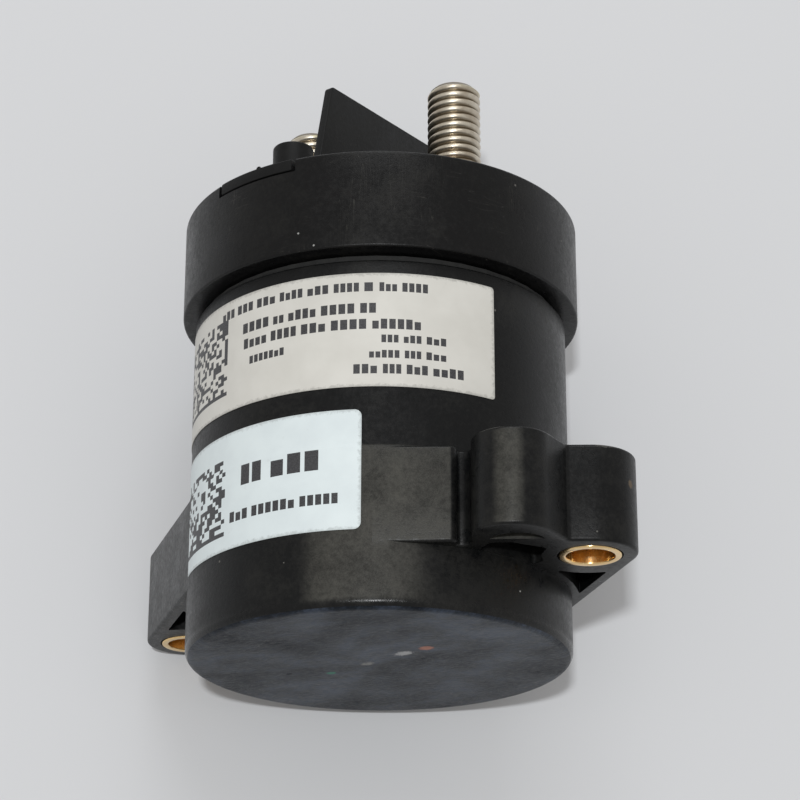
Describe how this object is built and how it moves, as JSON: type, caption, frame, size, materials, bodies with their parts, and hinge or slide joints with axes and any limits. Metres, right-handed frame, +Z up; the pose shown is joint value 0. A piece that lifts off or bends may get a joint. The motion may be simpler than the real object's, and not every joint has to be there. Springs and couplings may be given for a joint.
{
  "type": "high voltage dc contactor",
  "caption": "Sealed round contactor with threaded terminals, a barrier between them and mounting ears on a moulded housing.",
  "frame": {"origin": "centre of the flat foot of the housing", "axes": "+Z up the axis of the housing towards the terminals, +X through the terminals and both ears, towards the ear with the lead gland; the gland is on the -Y side"},
  "size_m": [0.085, 0.0586, 0.0869],
  "materials": {
    "black_moulding": "satin",
    "cap_moulding": "satin",
    "black_rubber": "matt",
    "natural_moulding": "satin",
    "brass": "turned",
    "plated_steel": "plated",
    "bare_steel": "drawn",
    "copper": "turned",
    "silver": "satin",
    "enamelled_wire": "gloss",
    "ceramic": "fired",
    "magnet": "sintered"
  },
  "bodies": {
    "case": {"housing": "black_moulding", "lead_seal": "black_rubber", "bushing_right": "brass", "bushing_left": "brass", "top_cap": "cap_moulding", "cap_gasket": "black_rubber", "terminal_plate": "cap_moulding", "fixed_contact_right": "copper", "fixed_contact_left": "copper", "stud_right": "plated_steel", "stud_left": "plated_steel", "ceramic_header": "ceramic", "chamber_frame": "bare_steel", "arc_magnet_front": "magnet", "arc_magnet_rear": "magnet", "magnet_keeper_front": "bare_steel", "magnet_keeper_rear": "bare_steel", "fill_tube": "copper", "yoke_cup": "bare_steel", "yoke_plate": "bare_steel", "bobbin": "natural_moulding", "coil_winding": "enamelled_wire", "plunger_sleeve": "bare_steel", "fixed_core": "bare_steel", "return_spring": "plated_steel"},
    "armature": {"plunger": "bare_steel", "shaft": "plated_steel", "spring_seat": "natural_moulding", "shaft_clip": "plated_steel", "contact_spring": "plated_steel"},
    "bridge": {"contact_bridge": "copper", "contact_tip_right": "silver", "contact_tip_left": "silver"}
  },
  "joints": [
    {"name": "armature_slide", "type": "slide", "parent": "case", "child": "armature", "axis": [0, 0, 1], "range_m": [0, 0.0021], "stiffness_N_per_m": 500, "springref_m": -0.016, "deforming": ["return_spring"]},
    {"name": "bridge_overtravel", "type": "slide", "parent": "armature", "child": "bridge", "axis": [0, 0, 1], "range_m": [-0.0006, 0], "stiffness_N_per_m": 1500, "springref_m": 0.004, "deforming": ["contact_spring"]}
  ],
  "couplings": [
    {"joint": "bridge_overtravel", "follows": "armature_slide", "ratio": -0.28571}
  ]
}
